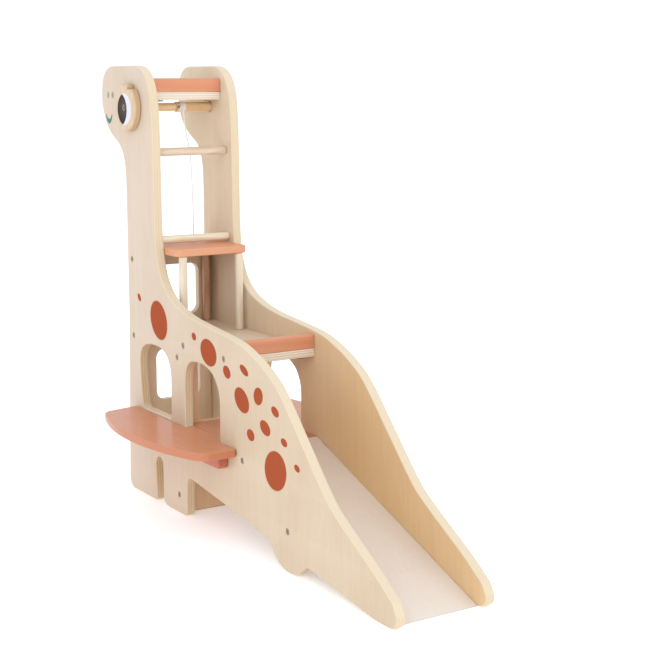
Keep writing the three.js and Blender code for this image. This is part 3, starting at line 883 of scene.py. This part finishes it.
def winch(metal):
    """Axle and drum on one line, a knob at each end with its screw, and the drum's pin."""
    low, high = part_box("winch_axle")
    centre = Vector(((low.x + high.x) / 2, 0, (low.z + high.z) / 2))
    light, deep = rgb(236, 205, 161), rgb(214, 174, 122)
    start, step, end = low.y / MM, SPIGOT_START, high.y / MM
    turned("winch_axle", [
        (0, start), (ROD_R - 0.6, start), (ROD_R - 0.1, start + 0.3), (ROD_R, start + 0.8),
        (ROD_R, step - 0.5), (ROD_R - 0.3, step - 0.05), (SPIGOT_R, step), (SPIGOT_R, end),
        (0, end)], centre, rod_wood("wood_axle", "Y", light, deep, 5.0), WINCH)

    start, end = span_of("winch_drum", "Y")
    turned("winch_drum", [
        (0, BORE_END), (SPIGOT_BORE, BORE_END), (SPIGOT_BORE, start + 0.2),
        (SPIGOT_BORE + 0.3, start), (COLLAR_R - 0.5, start), (COLLAR_R - 0.1, start + 0.15),
        (COLLAR_R, start + 0.6), (COLLAR_R, COLLAR_END - 0.4), (COLLAR_R - 0.4, COLLAR_END),
        (GROOVE_R, COLLAR_END + 0.01), (GROOVE_R, GROOVE_END),
        (DRUM_R - 0.3, GROOVE_END + 0.01), (DRUM_R, GROOVE_END + 0.3), (DRUM_R, end - 0.8),
        (DRUM_R - 0.3, end - 0.2), (DRUM_R - 0.9, end), (0, end)],
        centre, rod_wood("wood_drum", "Y", light, deep, 6.0), WINCH)

    turn = np.linspace(0, math.pi / 2, 7)
    rim = [(KNOB_R - KNOB_EASE * (1 - math.cos(a)), KNOB_THICK - KNOB_EASE * (1 - math.sin(a)))
           for a in turn]
    pocket, floor = EYE_POCKET[0], KNOB_THICK - EYE_POCKET[1]
    profile = ([(0, 0), (KNOB_R - 1, 0), (KNOB_R - 0.3, 0.3), (KNOB_R, 1)] + rim
               + [(pocket + 0.4, KNOB_THICK), (pocket, KNOB_THICK - 0.3), (pocket, floor),
                  (0, floor)])
    step_ends = (math.acos(NOTCH[0] / KNOB_R), math.atan2(*NOTCH[::-1]),
                 math.asin(NOTCH[1] / KNOB_R))
    for word, side in (("right", -1), ("left", 1)):
        low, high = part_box("eye_knob_" + word)
        back = low.y if side > 0 else high.y
        turned("eye_knob_" + word, profile, (centre.x, back, centre.z),
               knob_material(side, centre), WINCH, side, ring_angles(96, step_ends), knob_reach)
        screw("eye_screw_" + word, metal, side, WINCH)
    drum_pin(metal)


def screw(node, metal, side, body):
    """Countersunk head with a hexagon socket, facing outward along Y."""
    low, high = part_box(node)
    radius = (high.x - low.x) / 2 / MM
    face, back = (high.y, low.y) if side > 0 else (low.y, high.y)
    centre = ((low.x + high.x) / 2, back, (low.z + high.z) / 2)
    tall = abs(face - back) / MM
    hexagon = radius * HEXAGON
    profile = [(0, 0), (radius - 0.9, 0), (radius - 0.1, 0.9), (radius, tall - 0.5),
               (radius - 0.15, tall - 0.15), (radius - 0.5, tall), (hexagon + 0.15, tall),
               (hexagon, tall - 0.15), (hexagon, tall - HEXAGON_DEPTH),
               (0, tall - HEXAGON_DEPTH)]
    piece = turned(node, profile, centre, metal, body, side, ring_angles(36))
    middle = Vector(centre)
    for v in piece.data.vertices:
        away = Vector((v.co.x - middle.x, 0, v.co.z - middle.z))
        if 1e-6 < away.length < (hexagon + 0.2) * MM:
            angle = math.atan2(away.z, away.x) % (math.pi / 3) - math.pi / 6
            away *= math.cos(math.pi / 6) / math.cos(angle)
            v.co.x, v.co.z = middle.x + away.x, middle.z + away.z


def curb_screws(metal):
    """Flat dome-headed screws under the decks, which hold the stops."""
    for deck_name in ("car", "head"):
        for word in ("right", "left"):
            node = f"{deck_name}_curb_screw_{word}"
            low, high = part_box(node)
            centre = ((low.x + high.x) / 2, (low.y + high.y) / 2, high.z)
            radius, tall = (high.x - low.x) / 2 / MM, (high.z - low.z) / MM
            socket, floor = CURB_SOCKET_R, tall - CURB_SOCKET_DEPTH
            profile = [(0, 0), (radius - 0.15, 0), (radius, 0.15), (radius - 0.25, tall * 0.6),
                       (radius - 0.7, tall * 0.9), (radius - 1.3, tall), (socket + 0.2, tall),
                       (socket, tall - 0.2), (socket, floor), (0, floor)]
            turned(node, profile, centre, metal, TOWER, -1, ring_angles(36), axis="Z")


def drum_pin(metal):
    """Small dome-headed screw in the drum's collar."""
    low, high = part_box("drum_pin")
    verts, faces = [], []
    radius, tall = (high.y - low.y) / 2, high.x - low.x
    y, z = (low.y + high.y) / 2, (low.z + high.z) / 2
    for share, height in PIN_PROFILE:
        for a in ring_angles(PIN_SIDES):
            r = share * radius
            verts.append((low.x + height * tall, y + r * math.cos(a), z + r * math.sin(a)))
    for k in range(len(PIN_PROFILE) - 1):
        faces += quads(k * PIN_SIDES, (k + 1) * PIN_SIDES, PIN_SIDES)
    add_piece("drum_pin", verts, faces, metal, WINCH)


# ---- cord --------------------------------------------------------------------------
CORD_D = 1.6
KNOT_SIZE, KNOT_RISE = 0.72, 1.5        # mm across and along for a unit of its curve
KNOT_PITCH = 2.1 * MM
WINDING_TURNS, WINDING_R, WINDING_STEP = 5.4, 6.05, 1.01 * CORD_D
# Where the string leaves the drum, how it falls, and where it ends at the knot.
CORD_ROUTE = [(29.3, 7.2, 506.2), (29.3, 10.7, 477.2), (29.3, 15.4, 455.2), (29.3, 17.7, 434.2),
              (29.3, 19.6, 386.2), (29.3, 20.2, 337.6)]


def cord(white):
    """The length that hangs in the neck, its end knot, and the turns on the drum."""
    route = [np.array(p) * MM + (REAR_X, 0, 0) for p in CORD_ROUTE]
    path = smooth_line(route, 46)
    hanging = tube("lift_cord", path, white, TOWER)

    low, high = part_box("cord_knot")
    middle = (low + high) / 2
    loop = []
    for t in np.linspace(0, 2 * math.pi, 120, endpoint=False):
        x = math.sin(t) + 2 * math.sin(2 * t)
        y = math.cos(t) - 2 * math.cos(2 * t)
        offset = (x * KNOT_SIZE, y * KNOT_SIZE, -KNOT_RISE * math.sin(3 * t))
        loop.append(np.array(middle) + np.array(offset) * MM)
    knot = tube("cord_knot", loop + [loop[0]], white, CORD_END, pitch=KNOT_PITCH)
    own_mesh(hanging)

    low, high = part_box("winch_axle")
    x, z = (low.x + high.x) / 2, (low.z + high.z) / 2
    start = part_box("cord_winding")[0].y + CORD_D / 2 * MM
    radius = WINDING_R * MM
    helix = []
    for t in np.linspace(0, WINDING_TURNS, 260):
        a = -2 * math.pi * t
        helix.append((x + radius * math.cos(a), start + t * WINDING_STEP * MM,
                      z + radius * math.sin(a)))
    tube("cord_winding", helix, white, WINCH)


# ---- studio ------------------------------------------------------------------------
FLOOR_REACH = 30.0                      # metres from the middle to each edge
FLOOR_DROP = 0.2 * MM                   # keeps the floor clear of the feet
FLOOR_GLOW = 0.3                        # evens out the floor's white
SKY, SKY_STRENGTH = (1.0, 1.03, 1.1, 1.0), 1.02
# Soft lamps: place, size and power.
LAMPS = {"key": ((2.0, -1.7, 1.9), 1.6, 14.0), "fill": ((2.6, 0.9, 1.3), 2.0, 6.0)}


def studio():
    """A white paper floor, an even sky and two large lamps in front of the tower."""
    floor_mesh = bpy.data.meshes.new("floor")
    size = FLOOR_REACH
    floor_mesh.from_pydata([(-size, -size, 0), (size, -size, 0), (size, size, 0),
                            (-size, size, 0)], [], [(0, 1, 2, 3)])
    floor = bpy.data.objects.new("floor", floor_mesh)
    floor.location.z = -FLOOR_DROP
    bpy.context.scene.collection.objects.link(floor)
    paper = Shader("floor_paper", Specular_IOR_Level=0.1)
    paper.colour(paper.mix(paper.noise(paper.position, 3.0), rgb(252, 252, 252),
                           rgb(250, 250, 250)))
    paper.roughness(0.9)
    paper.surface.inputs["Emission Color"].default_value = (1.0, 1.0, 1.0, 1.0)
    paper.surface.inputs["Emission Strength"].default_value = FLOOR_GLOW
    floor_mesh.materials.append(paper.material)

    world = bpy.data.worlds.new("studio")
    world.use_nodes = True
    background = world.node_tree.nodes["Background"]
    background.inputs["Color"].default_value = SKY
    background.inputs["Strength"].default_value = SKY_STRENGTH
    bpy.context.scene.world = world

    target = (cad_low + cad_high) / 2
    for name, (place, size, power) in LAMPS.items():
        data = bpy.data.lights.new(name, "AREA")
        data.size = size
        data.energy = power
        lamp = bpy.data.objects.new(name, data)
        lamp.location = place
        lamp.rotation_mode = "QUATERNION"
        lamp.rotation_quaternion = (target - Vector(place)).to_track_quat("-Z", "Y")
        bpy.context.scene.collection.objects.link(lamp)
    bpy.context.scene.view_settings.view_transform = "Standard"


# ---- build -------------------------------------------------------------------------
make_camera()
white = string()
cord(white)
metal = steel("screw_steel", rgb(112, 98, 80), rgb(146, 130, 108))
SALMON = rgb(209, 140, 102), rgb(194, 120, 84), rgb(216, 152, 118)
salmon = {
    # The floors' boards get painted shade on their sides.
    "floors": stained("salmon_stain_floors", "X", *SALMON, show=0.2, gloss=0.35,
                      painted_side_shade=(0.84, 0.73, 0.68)),
    "curbs": stained("salmon_stain_curbs", "Y", *SALMON),
    "landing": stained("salmon_stain_landing", "Y", rgb(215, 151, 111), rgb(202, 133, 94),
                       rgb(222, 163, 128)),
    # Painted shade: the cleats under the balconies are a darker, redder salmon than the floors.
    "shaded_cleats": stained("salmon_stain_cleats", "X", rgb(192, 110, 84), rgb(178, 94, 70),
                      rgb(200, 122, 96)),
}
for word, side in (("right", -1), ("left", 1)):
    side_panel(word, side)
    balcony(word, side, salmon)
    for place in SIDE_SCREWS:
        screw(f"screw_{place}_{word}", metal, side, TOWER)
cross_wall("back_wall", BACK_WINDOWS, 2.2, (1.0, 0.965, 0.95))
# The middle wall's darker, warmer tint is painted shade, deep inside the tower.
cross_wall("middle_wall", (MIDDLE_DOOR,), 3.1, (1.02, 0.84, 0.7))
decks(salmon)
ramp()
rods()
winch(steel("eye_screw_steel", rgb(66, 58, 52), rgb(92, 84, 76)))
curb_screws(metal)
studio()
